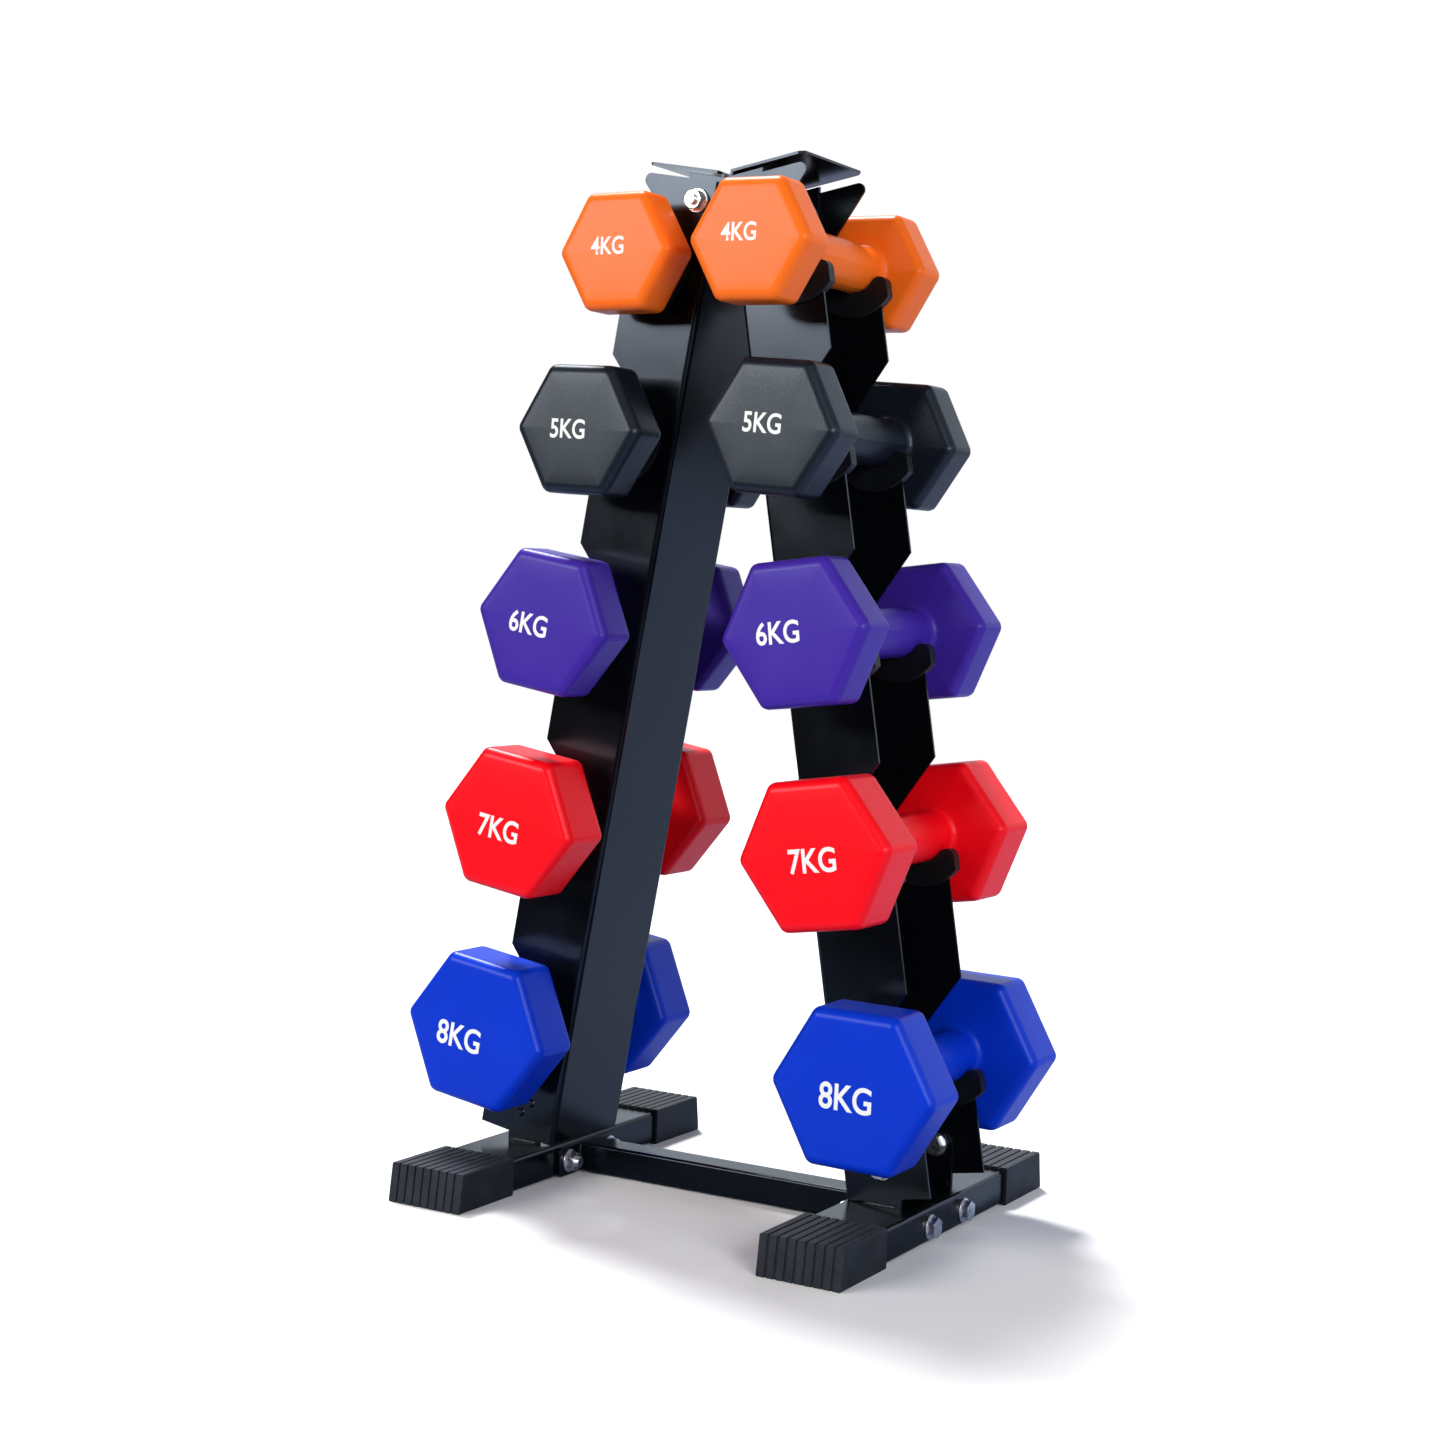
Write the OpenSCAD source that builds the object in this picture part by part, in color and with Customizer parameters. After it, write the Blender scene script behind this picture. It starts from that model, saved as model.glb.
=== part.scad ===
// A-frame dumbbell rack: two tilted sheet-steel channels on two feet, with
// five cradles a side that hold a graded pair of hex dumbbells each.
// X runs from leg to leg, Y from front to back, Z up. The origin is on the
// floor, midway between the feet.

/* [Feet] */
// Distance between the centre lines of the two feet
foot_spacing = 314; // [260:1:400]
// Length of a foot's steel tube, without its end caps
foot_tube_len = 324; // [260:1:420]
// Width of the foot tube
foot_w = 60; // [50:1:80]
// Height of the foot tube
foot_h = 25; // [20:1:40]
// Wall of the foot tube
foot_wall = 2; // [1.5:0.1:3]
// Outside corner radius of the foot tube
foot_corner = 3; // [2.5:0.1:4]

/* [End caps] */
// Length of an end cap along the foot, at the floor
cap_len = 67.5; // [40:0.5:90]
// Rubber below the foot tube
cap_floor = 1.6; // [1:0.1:4]
// Rubber above the foot tube
cap_roof = 2.4; // [1.8:0.1:4]
// Rubber on each side of the foot tube
cap_side = 2.6; // [1.5:0.1:4]
// Rubber past the tube's end, at the floor
cap_nose = 7.2; // [5:0.1:14]
// How far the nose leans in over its height
cap_lean = 4.1; // [0:0.1:5]
// Number of ribs across the cap
rib_count = 9; // [5:1:11]
// Width of the groove between two ribs
groove_w = 1.6; // [0.8:0.1:2.4]
// Depth of the grooves
groove_d = 1.1; // [0.4:0.1:1.4]

/* [Cross tube] */
// Depth of the square cross tube, front to back
cross_d = 25; // [20:1:40]
// Height of the cross tube
cross_h = 22.5; // [16:0.5:25]
// Wall of the cross tube
cross_wall = 1.5; // [1:0.1:2.5]
// Step down from the foot tube's top to the cross tube's top
cross_step = 2.6; // [0:0.1:4]
// Width of the end plates, front to back
end_plate_w = 82; // [76:1:100]
// Distance between the two bolts of an end plate
foot_bolt_spacing = 56.6; // [50:0.2:64]

/* [Legs] */
// Length of a leg along its own axis
leg_len = 750; // [600:1:850]
// Width of the channel, over both flanges
channel_w = 93.8; // [80:0.2:110]
// Depth of the channel, web face to flange edge
channel_d = 67.5; // [62:0.5:80]
// Sheet thickness of the legs
sheet_t = 2; // [1.5:0.1:2.5]
// Inside bend radius of the sheet
bend_r = 2; // [1:0.1:3]
// Distance from the middle of the base to the web's inner face, at the foot
web_foot_x = 128.5; // [110:0.5:136]
// Gap between the two webs at the top
apex_gap = 3; // [1:0.5:6]
// Length of the folded roof plate
roof_len = 64.4; // [50:0.2:70]
// Slot between the roof plate and the flanges
roof_slot = 6; // [4:0.5:10]
// Radius of the flange's top outer corner
fin_r = 5; // [3:0.5:6]

/* [Tiers] */
// Height of the lowest cradle's upper lip along the leg
low_tier = 145; // [140:0.5:160]
// Steps from tier to tier, from the lowest up
tier_steps = [164, 153, 144, 131.5]; // [125:0.5:180]
// How far the seat's centre lies below the upper lip
seat_drop = 57.5; // [55:0.5:62]
// How far the seat's centre lies inside the flange edge
seat_inset = 18; // [16:0.5:20]
// Radius of the saddle's inside, where the handle lies
seat_r = 19.5; // [19:0.1:21]
// Radius of the notch's inner upper corner
notch_corner = 12; // [6:0.5:16]

/* [Saddles] */
// Plastic between the handle and the sheet's edge
saddle_base = 3; // [2:0.1:4]
// Height of the saddle's cheeks, from the inside radius out
saddle_band = 18; // [14:0.5:22]
// Thickness of one cheek
saddle_cheek = 3.2; // [2:0.1:4]
// Angle of the saddle's outer end below level
saddle_start = 42; // [38:1:46]
// Radius of the round lobe at the saddle's outer end
lobe_r = 6.5; // [5:0.1:7.5]

/* [Top tie and brackets] */
// Thickness of the tie plates, brackets and end plates
plate_t = 3; // [2:0.1:4]
// Half length of a tie plate
tie_half = 31; // [30:0.5:36]
// Height of a tie plate at its ends
tie_h = 39; // [32:1:42]
// Depth of the top bolt's centre from the web face
top_bolt_d = 16.2; // [14:0.2:20]
// Drop of the top bolt's centre from the leg's end
top_bolt_drop = 23.5; // [20:0.5:30]
// Width of a foot bracket
bracket_w = 29; // [24:0.5:32]
// Height of a foot bracket's bolt over the foot
bracket_bolt_h = 28; // [24:0.5:34]

/* [Fasteners] */
// Bolt shank diameter
bolt_dia = 8; // [6:1:8]
// Hexagon size across the flats
hex_flats = 13; // [10:0.5:13]
// Washer and flange diameter
washer_dia = 17.6; // [14:0.1:18]
// Radial clearance of bolts in plates
bolt_play = 0.25; // [0.1:0.05:0.4]
// Rivet shank diameter
rivet_dia = 4; // [3:0.5:4]

/* [Dumbbells] */
// Head size across the flats, from the lightest pair to the heaviest
head_flats = [85.8, 94.5, 102.5, 104.8, 111.5]; // [70:0.1:125]
// Length of the flat sides of a head
head_side = [36, 38.5, 40, 49.5, 47]; // [30:0.5:60]
// Gap between the two heads of a dumbbell, at the rims
head_gap = [143, 148, 151, 142, 128]; // [120:0.5:160]
// Handle radius where it lies in the saddles
handle_r = [17.5, 17.7, 17.9, 18, 18.1]; // [16:0.1:18.2]
// Turn of each left dumbbell about its own axis
turn_left = [0.5, 2.5, 9.3, 9.1, 8.6]; // [-30:0.1:30]
// Turn of each right dumbbell about its own axis
turn_right = [1.5, 4.4, -7, -8.4, 1.2]; // [-30:0.1:30]
// How far each pair lies off the middle, right ones forward, left ones back
lay_shift = [11, 6.4, 5, 8.5, 3]; // [0:0.1:12]
// Rounding of a head's rims
rim_r = 5; // [3:0.5:8]
// How much a head's six long corners are cut back
corner_ease = 0.85; // [0.5:0.05:2]
// Height of a head's inner face over its rim, at the handle
dome_h = 8; // [7:0.5:9]
// Fillet between the handle and a head's inner face
fillet_r = 6; // [4:0.5:6]
// Swell of the handle's middle over its ends
handle_swell = 1.2; // [0:0.1:1.5]
// Thickness of the dipped coat
coat_t = 2; // [1:0.1:3]

/* [Hidden] */
$fn = 48;

slip = 0.05;          // gap between pieces that slide over each other
rest_gap = 0.3;       // air under a handle that lies in its saddles
foot_x = foot_spacing / 2;
foot_top = cap_floor + foot_h;
foot_half = foot_tube_len / 2;
cap_h = foot_top + cap_roof;
tilt = asin((web_foot_x - apex_gap / 2) / leg_len);
web_in = channel_w / 2 - sheet_t;
flange_top = leg_len - sheet_t - roof_slot;
seat_d = channel_d - seat_inset;
metal_r = seat_r + saddle_base + slip;
nut_h = 6.5;
head_h = 5.3;
washer_t = 1.6;
hole_r = bolt_dia / 2 + bolt_play;
bracket_x = foot_x - 1;
bolt_z = cap_floor + foot_h - cross_step - cross_h / 2;
bracket_bolt_z = foot_top + bracket_bolt_h;
coats = ["#ff7a1a", "#2b2f38", "#4326a0", "#ff1626", "#0030cc"];
steel_black = "#23262d";
zinc = "#c9ced4";
rubber_black = "#33363e";

// Upper lips of the five notches from the heaviest tier up to the lightest.
function lip(k) = k == 0 ? low_tier : lip(k - 1) + tier_steps[k - 1];
// Pair 0 is the lightest and lies on top.
function lip_of(i) = lip(4 - i);
// Leg coordinates (depth from the web, height along the leg) to the rack's.
function rack_x(d, s) = web_foot_x + d * cos(tilt) - s * sin(tilt);
function rack_z(d, s) = foot_top + d * sin(tilt) + s * cos(tilt);
function leg_d(x, z) = (x - web_foot_x) * cos(tilt) + (z - foot_top) * sin(tilt);
function leg_s(x, z) = (z - foot_top) * cos(tilt) - (x - web_foot_x) * sin(tilt);
// A handle rolls to the lowest point of its seat.
function neck_y(i) = head_gap[i] / 2 - dome_h;
function handle_at(i, y) = handle_r[i] + handle_swell * (1 - pow(y / neck_y(i), 2));
function sink(i) = seat_r - rest_gap
    - handle_at(i, channel_w / 2 - sheet_t - saddle_cheek - lay_shift[i]);
function bell_x(i) = rack_x(seat_d, lip_of(i) - seat_drop);
function bell_z(i) = rack_z(seat_d, lip_of(i) - seat_drop) - sink(i);

top_bolt_s = leg_len - top_bolt_drop;
top_bolt_x = rack_x(top_bolt_d, top_bolt_s);
top_bolt_z = rack_z(top_bolt_d, top_bolt_s);

// The left half of the rack is the right half turned about the Z axis.
module on_side(side) {
    if (side == "left") rotate([0, 0, 180]) children();
    else children();
}

module on_leg(side) {
    on_side(side)
        translate([web_foot_x, 0, foot_top])
            rotate([0, -tilt, 0]) children();
}

// Extrudes an X-Z outline along Y, centred on y.
module slab(y, t) {
    translate([0, y, 0]) rotate([90, 0, 0])
        linear_extrude(height = t, center = true) children();
}

// A cylinder along Y from y0 to y1.
module rod_y(x, z, r, y0, y1) {
    translate([x, y0, z]) rotate([-90, 0, 0]) cylinder(r = r, h = y1 - y0);
}

// A rectangle with round corners, centred.
module round_rect(w, h, r) {
    square([w - 2 * r, h], center = true);
    square([w, h - 2 * r], center = true);
    for (x = [-1, 1], y = [-1, 1])
        translate([x * (w / 2 - r), y * (h / 2 - r)]) circle(r = r);
}

// ---- Legs ----

// The space that a handle needs: a sloped mouth, a round inner corner and
// the seat. Local x is the depth, local y the height from the upper lip.
module notch_outline() {
    inner = seat_d - metal_r;
    corner_d = inner + notch_corner;
    corner_s = corner_d - channel_d - notch_corner * sqrt(2);
    tangent = notch_corner / sqrt(2);
    tip_s = -seat_drop - sqrt(pow(metal_r, 2) - pow(seat_inset, 2));
    union() {
        polygon([
            [channel_d + 5, 5],
            [corner_d - tangent, corner_s + tangent],
            [corner_d, corner_s],
            [inner, corner_s],
            [inner, -seat_drop],
            [seat_d, -seat_drop],
            [channel_d, tip_s],
            [channel_d + 5, tip_s]
        ]);
        translate([corner_d, corner_s]) circle(r = notch_corner);
        translate([seat_d, -seat_drop]) circle(r = metal_r, $fn = 72);
    }
}

// Side view of a flange. The top outer corner is rounded into a fin.
module flange_outline() {
    fin_s = flange_top - fin_r;
    fin_d = channel_d - fin_r * sqrt(2) + fin_s - lip(4);
    difference() {
        square([channel_d, flange_top]);
        for (k = [0:4]) translate([0, lip(k)]) notch_outline();
        translate([fin_d, fin_s]) difference() {
            polygon([[0, 0], [0, 20], [20, 20], [20, -20]]);
            circle(r = fin_r);
        }
    }
}

// Cross-section of the channel: web at x = 0, flanges towards +x.
module channel_section() {
    outer_r = bend_r + sheet_t;
    difference() {
        union() {
            translate([outer_r, -channel_w / 2])
                square([channel_d - outer_r, channel_w]);
            translate([0, -channel_w / 2 + outer_r])
                square([outer_r, channel_w - 2 * outer_r]);
            for (y = [-1, 1])
                translate([outer_r, y * (channel_w / 2 - outer_r)])
                    circle(r = outer_r);
        }
        translate([outer_r, -web_in]) square([channel_d, 2 * web_in]);
        translate([sheet_t, -web_in + bend_r])
            square([outer_r, 2 * (web_in - bend_r)]);
        for (y = [-1, 1])
            translate([outer_r, y * (web_in - bend_r)]) circle(r = bend_r);
    }
}

// The web runs on past the flanges and folds out into the roof plate.
module roof_fold() {
    outer_r = bend_r + sheet_t;
    web_w = 2 * (web_in - bend_r);
    slab(0, web_w) difference() {
        union() {
            translate([0, flange_top - 1])
                square([outer_r, leg_len - flange_top + 1 - outer_r]);
            translate([outer_r, leg_len - outer_r]) circle(r = outer_r);
        }
        translate([sheet_t, flange_top - 2])
            square([outer_r, leg_len - flange_top + 2 - outer_r]);
        translate([outer_r, leg_len - outer_r]) circle(r = bend_r);
        translate([outer_r, leg_len - outer_r - 10]) square([10, 20]);
    }
    translate([0, 0, leg_len - sheet_t])
        linear_extrude(height = sheet_t) roof_outline(outer_r);
}

module roof_outline(start) {
    half = channel_w / 2;
    trim = 4;
    polygon([
        [start, -half], [roof_len - trim, -half], [roof_len, -half + trim],
        [roof_len, half - trim], [roof_len - trim, half], [start, half]
    ]);
}

// Slots through which the tie plates pass from channel to channel.
module tie_slots() {
    slot_y = plate_t + 0.6;
    slot_s = leg_s(tie_half, rack_z(0, flange_top) - tie_h) - 6;
    for (y = [-1, 1])
        translate([-1, y * (web_in - slot_y / 2) - slot_y / 2, slot_s])
            cube([sheet_t + bend_r + 1.2, slot_y, flange_top + 2 - slot_s]);
}

module leg(side) {
    hole_y = channel_w / 2 + 1;
    low_d = leg_d(foot_x, bracket_bolt_z);
    low_s = leg_s(foot_x, bracket_bolt_z);
    color(steel_black) on_leg(side) difference() {
        union() {
            intersection() {
                linear_extrude(height = flange_top) channel_section();
                slab(0, channel_w + 2) flange_outline();
            }
            roof_fold();
        }
        tie_slots();
        rod_y(top_bolt_d, top_bolt_s, hole_r, -hole_y, hole_y);
        if (side == "right") rod_y(low_d, low_s, hole_r, -hole_y, hole_y);
        else for (p = rivet_places)
            rod_y(leg_d(p[0], p[1]), leg_s(p[0], p[1]), rivet_dia / 2 + slip,
                  -hole_y, hole_y);
    }
}

// ---- Feet ----

module foot_tube(side) {
    color(steel_black) on_side(side) translate([foot_x, 0, cap_floor + foot_h / 2])
        difference() {
            rotate([90, 0, 0])
                linear_extrude(height = foot_tube_len, center = true)
                    difference() {
                        round_rect(foot_w, foot_h, foot_corner);
                        round_rect(foot_w - 2 * foot_wall,
                                   foot_h - 2 * foot_wall,
                                   foot_corner - foot_wall);
                    }
            for (y = [-1, 1])
                translate([-foot_w, y * foot_bolt_spacing / 2,
                           bolt_z - cap_floor - foot_h / 2])
                    rotate([0, 90, 0]) cylinder(r = hole_r, h = 2 * foot_w);
        }
}

// Side view of a cap, y along the foot from the cap's inner end.
module cap_outline(inset) {
    polygon([
        [-1 + min(inset, 1), 0],
        [cap_len - inset, 0],
        [cap_len - cap_lean - inset, cap_h - inset],
        [-1 + min(inset, 1), cap_h - inset]
    ]);
}

// A sleeve with a closed, leaning nose; grooves run along the top and down
// the nose.
module cap(side, front) {
    outer_w = foot_w + 2 * cap_side;
    pitch = outer_w / rib_count;
    start_y = foot_half + cap_nose - cap_len;
    y_dir = (side == "right") == front ? -1 : 1;
    edge = 1.5;
    color(rubber_black) on_side(side) translate([foot_x, 0, 0])
        mirror([0, y_dir < 0 ? 1 : 0, 0]) translate([0, start_y, 0])
            difference() {
                intersection() {
                    rotate([90, 0, 90])
                        linear_extrude(height = outer_w, center = true)
                            polygon([
                                [0, 0], [cap_len, 0],
                                [cap_len - cap_lean, cap_h], [0, cap_h]
                            ]);
                    translate([0, -1, cap_h / 2]) rotate([-90, 0, 0])
                        linear_extrude(height = cap_len + 2)
                            round_rect(outer_w, cap_h, edge);
                }
                translate([0, -1, cap_floor + foot_h / 2]) rotate([-90, 0, 0])
                    linear_extrude(height = cap_len - cap_nose + 1)
                        round_rect(foot_w, foot_h, foot_corner);
                for (n = [1:rib_count - 1])
                    translate([(n - rib_count / 2) * pitch, 0, 0])
                        rotate([90, 0, 90])
                            linear_extrude(height = groove_w, center = true)
                                difference() {
                                    translate([-2, -1])
                                        square([cap_len + 4, cap_h + 2]);
                                    translate([-2, 0]) polygon([
                                        [-1, -2],
                                        [cap_len + 2 - groove_d, -2],
                                        [cap_len + 2 - groove_d, 0],
                                        [cap_len + 2 - cap_lean - groove_d,
                                         cap_h - groove_d],
                                        [-1, cap_h - groove_d]
                                    ]);
                                }
            }
}

// ---- Cross tube ----

module cross_tube() {
    inner_x = foot_x - foot_w / 2 - plate_t;
    color(steel_black) translate([0, 0, bolt_z]) rotate([90, 0, 90])
        linear_extrude(height = 2 * inner_x, center = true)
            difference() {
                round_rect(cross_d, cross_h, 2.5);
                round_rect(cross_d - 2 * cross_wall, cross_h - 2 * cross_wall,
                           2.5 - cross_wall);
            }
}

module end_plate(side) {
    color(steel_black) on_side(side)
        translate([foot_x - foot_w / 2 - plate_t, 0, bolt_z])
            rotate([90, 0, 90]) linear_extrude(height = plate_t)
                difference() {
                    round_rect(end_plate_w, cross_h, 4);
                    for (y = [-1, 1])
                        translate([y * foot_bolt_spacing / 2, 0])
                            circle(r = hole_r);
                }
}

// ---- Brackets and ties ----

rivet_places = [
    [bracket_x - 7.5, bracket_bolt_z + 3],
    [bracket_x + 2, bracket_bolt_z - 5]
];

// A round-topped tab welded on the foot, flat against the flange's inside.
module bracket(side, y_dir) {
    top_r = bracket_w / 2;
    y = y_dir * (web_in - slip - plate_t / 2);
    bead_r = 2.2;
    color(steel_black) on_side(side) difference() {
        union() {
            slab(y, plate_t) translate([bracket_x, 0]) {
                translate([-top_r, foot_top])
                    square([bracket_w, bracket_bolt_h - 1]);
                translate([0, bracket_bolt_z - 1]) circle(r = top_r);
            }
            intersection() {
                translate([bracket_x, y - y_dir * plate_t / 2, foot_top])
                    rotate([0, 90, 0])
                        cylinder(r = bead_r, h = bracket_w - 4, center = true);
                translate([bracket_x, y, foot_top + 5])
                    cube([bracket_w, 20, 10], center = true);
            }
        }
        if (side == "right")
            rod_y(foot_x, bracket_bolt_z, hole_r, -60, 60);
        else for (p = rivet_places)
            rod_y(p[0], p[1], rivet_dia / 2 + slip, -60, 60);
    }
}

// Spans both channels under the roofs; its top edge follows the roofs.
module tie_plate(y_dir) {
    top_mid = rack_z(0, leg_len - sheet_t) - 2.4;
    rise = tie_half * tan(tilt);
    low = top_mid + rise - tie_h;
    color(steel_black) difference() {
        slab(y_dir * (web_in - slip - plate_t / 2), plate_t) polygon([
            [-tie_half, low], [tie_half, low], [tie_half, top_mid + rise],
            [0, top_mid], [-tie_half, top_mid + rise]
        ]);
        for (x = [-1, 1])
            rod_y(x * top_bolt_x, top_bolt_z, hole_r, -60, 60);
    }
}

// ---- Fasteners, drawn along +Z from the face they press on ----

module washer() {
    difference() {
        cylinder(r = washer_dia / 2, h = washer_t);
        translate([0, 0, -1]) cylinder(r = hole_r, h = washer_t + 2);
    }
}

module nut() {
    difference() {
        intersection() {
            cylinder(r = hex_flats / sqrt(3), h = nut_h, $fn = 6);
            cylinder(r1 = hex_flats / 2 + 2.4, r2 = hex_flats / 2 + 0.2,
                     h = nut_h);
        }
        translate([0, 0, -1]) cylinder(r = bolt_dia / 2 + slip, h = nut_h + 2);
    }
}

// Head above z = 0, shank below it.
module bolt(shank, flanged) {
    flange_t = 1.5;
    cylinder(r = hex_flats / sqrt(3), h = head_h + (flanged ? flange_t : 0),
             $fn = 6);
    if (flanged) cylinder(r = washer_dia / 2, h = flange_t);
    translate([0, 0, -shank]) cylinder(r = bolt_dia / 2, h = shank + 1);
}

// Puts a part on a face that looks along y_dir.
module facing_y(x, y, z, y_dir) {
    translate([x, y, z]) rotate([-90 * y_dir, 0, 0]) children();
}

// Every bolt that joins a flange to a plate behind it.
module at_flange_bolts(which, y) {
    for (y_dir = [-1, 1]) {
        if (which == "top") for (x = [-1, 1])
            facing_y(x * top_bolt_x, y_dir * y, top_bolt_z, y_dir) children();
        else facing_y(foot_x, y_dir * y, bracket_bolt_z, y_dir) children();
    }
}

module flange_bolts(which) {
    shank = 2 * plate_t + washer_t + nut_h + 3;
    color(zinc) at_flange_bolts(which, web_in - slip - plate_t)
        rotate([180, 0, 0]) bolt(shank, true);
}

module flange_nuts(which) {
    color(zinc) at_flange_bolts(which, channel_w / 2 + washer_t) nut();
}

module flange_washers(which) {
    color(zinc) at_flange_bolts(which, channel_w / 2) washer();
}

// Dome-headed pins through the left leg's flanges and brackets.
module leg_rivets() {
    y_in = web_in - slip - plate_t;
    color(steel_black) on_side("left") for (y_dir = [-1, 1], p = rivet_places)
        facing_y(p[0], y_dir * y_in, p[1], y_dir) {
            grip = channel_w / 2 - y_in;
            cylinder(r = rivet_dia / 2, h = grip + 0.2);
            translate([0, 0, grip]) cylinder(r1 = rivet_dia * 0.9,
                                             r2 = rivet_dia * 0.55, h = 1.2);
            translate([0, 0, -1]) cylinder(r = rivet_dia * 0.8, h = 1);
        }
}

// The four long bolts that clamp the end plates through the feet.
module at_foot_bolts(x, x_dir) {
    for (side = ["left", "right"], y = [-1, 1]) on_side(side)
        translate([x, y * foot_bolt_spacing / 2, bolt_z])
            rotate([0, 90 * x_dir, 0]) children();
}

module foot_bolts() {
    shank = foot_w + plate_t + washer_t + nut_h + 3;
    color(zinc) at_foot_bolts(foot_x + foot_w / 2, 1) bolt(shank, true);
}

module foot_nuts() {
    x = foot_x - foot_w / 2 - plate_t - washer_t;
    color(zinc) at_foot_bolts(x, -1) nut();
}

module foot_washers() {
    color(zinc) at_foot_bolts(foot_x - foot_w / 2 - plate_t, -1) washer();
}

// ---- Saddles ----

// Side view: a half ring round the seat that ends outside in a round lobe.
module saddle_outline() {
    outer_r = seat_r + saddle_band;
    lobe_x = (seat_r + lobe_r) * cos(saddle_start);
    lobe_y = -(seat_r + lobe_r) * sin(saddle_start);
    far = 2 * outer_r;
    union() {
        difference() {
            circle(r = outer_r, $fn = 96);
            circle(r = seat_r, $fn = 96);
            polygon([
                [0, 0], [lobe_x, lobe_y], [far, lobe_y], [far, far],
                [-far, far], [-far, 0]
            ]);
            translate([lobe_x + lobe_r, -far]) square([far, 2 * far]);
        }
        translate([lobe_x, lobe_y]) circle(r = lobe_r);
    }
}

// One saddle hugs the edge of one flange: cheeks on both faces of the sheet.
module saddle(i, y_dir) {
    mid_y = y_dir * (channel_w / 2 - sheet_t / 2);
    width = sheet_t + 2 * saddle_cheek;
    translate([0, 0, lip_of(i)]) difference() {
        slab(mid_y, width)
            translate([seat_d, -seat_drop]) saddle_outline();
        slab(mid_y, sheet_t + 2 * slip) difference() {
            translate([-10, -2 * seat_drop])
                square([channel_d + 10 + slip, 2 * seat_drop]);
            translate([seat_d, -seat_drop])
                circle(r = metal_r - slip, $fn = 72);
        }
    }
}

module saddles(side, i) {
    color(rubber_black) on_leg(side)
        for (y_dir = [-1, 1]) saddle(i, y_dir);
}

// ---- Dumbbells, lying along Y ----

// A hexagonal head: three crossed slabs with round rims, corners eased.
module bell_head(flats, side_len, r) {
    intersection() {
        rotate([0, 30, 0]) hex_slab(flats, side_len, r);
        rotate([0, 90, 0]) hex_slab(flats, side_len, r);
        rotate([0, 150, 0]) hex_slab(flats, side_len, r);
        rotate([90, 0, 0])
            cylinder(r = flats / sqrt(3) - corner_ease, h = 4 * side_len, center = true,
                     $fn = 96);
    }
}

// One pair of opposite flats: length along Y, the flats face +-X.
module hex_slab(flats, side_len, r) {
    linear_extrude(height = 2 * flats, center = true)
        round_rect(flats, side_len, r);
}

// Half section of the handle; x is the radius.
module handle_half(i, inset) {
    neck = neck_y(i);
    r = handle_r[i] - inset;
    steps = 8;
    polygon(concat(
        [[0, -neck]],
        [for (n = [0:2 * steps]) let (u = -1 + n / steps)
            [r + handle_swell * (1 - u * u), u * neck]],
        [[0, neck]]
    ));
}

// Half section of a head's inner face: a low cone and its round fillet.
module face_half(i, inset) {
    neck = neck_y(i);
    fillet_x = handle_r[i] + fillet_r;
    reach = head_flats[i] * 0.42 - inset;
    difference() {
        polygon([
            [0, neck], [fillet_x, neck], [fillet_x, neck + fillet_r + inset],
            [reach, neck + dome_h + inset], [reach, head_gap[i] / 2 + 6],
            [0, head_gap[i] / 2 + 6]
        ]);
        translate([fillet_x, neck]) circle(r = fillet_r + inset);
    }
}

module bell_shape(i, inset) {
    flats = head_flats[i] - 2 * inset;
    side_len = head_side[i] - 2 * inset;
    mid = head_gap[i] / 2 + head_side[i] / 2;
    union() {
        rotate([90, 0, 0]) rotate_extrude($fn = 72) union() {
            handle_half(i, inset);
            face_half(i, inset);
            mirror([0, 1]) face_half(i, inset);
        }
        for (y = [-1, 1]) translate([0, y * mid, 0])
            bell_head(flats, side_len, rim_r - inset);
    }
}

module at_bell(side, i) {
    turn = side == "left" ? turn_left[i] : turn_right[i];
    on_side(side) translate([bell_x(i), -lay_shift[i], bell_z(i)])
        rotate([0, side == "left" ? -turn : turn, 0]) children();
}

module core(side, i) {
    color("#55585c") at_bell(side, i) bell_shape(i, coat_t);
}

module coat(side, i) {
    color(coats[i]) at_bell(side, i) difference() {
        bell_shape(i, 0);
        bell_shape(i, coat_t);
    }
}

leg("left");  // left_leg
leg("right");  // right_leg
foot_tube("left");  // left_foot_tube
foot_tube("right");  // right_foot_tube
bracket("left", 1);  // left_front_bracket
bracket("left", -1);  // left_back_bracket
bracket("right", -1);  // right_front_bracket
bracket("right", 1);  // right_back_bracket
cross_tube();
end_plate("left");  // left_end_plate
end_plate("right");  // right_end_plate
cap("left", true);  // left_front_cap
cap("left", false);  // left_back_cap
cap("right", true);  // right_front_cap
cap("right", false);  // right_back_cap
tie_plate(-1);  // front_tie_plate
tie_plate(1);  // back_tie_plate
flange_bolts("top");  // top_bolts
flange_nuts("top");  // top_nuts
flange_washers("top");  // top_washers
flange_bolts("leg");  // leg_bolts
flange_nuts("leg");  // leg_nuts
flange_washers("leg");  // leg_washers
leg_rivets();
foot_bolts();
foot_nuts();
foot_washers();
for (i = [0:4]) {
    saddles("left", i);
    saddles("right", i);
    core("left", i);
    core("right", i);
    coat("left", i);
    coat("right", i);
}
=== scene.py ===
import math
import random

import bmesh
import bpy
from mathutils import Matrix, Vector


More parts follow.
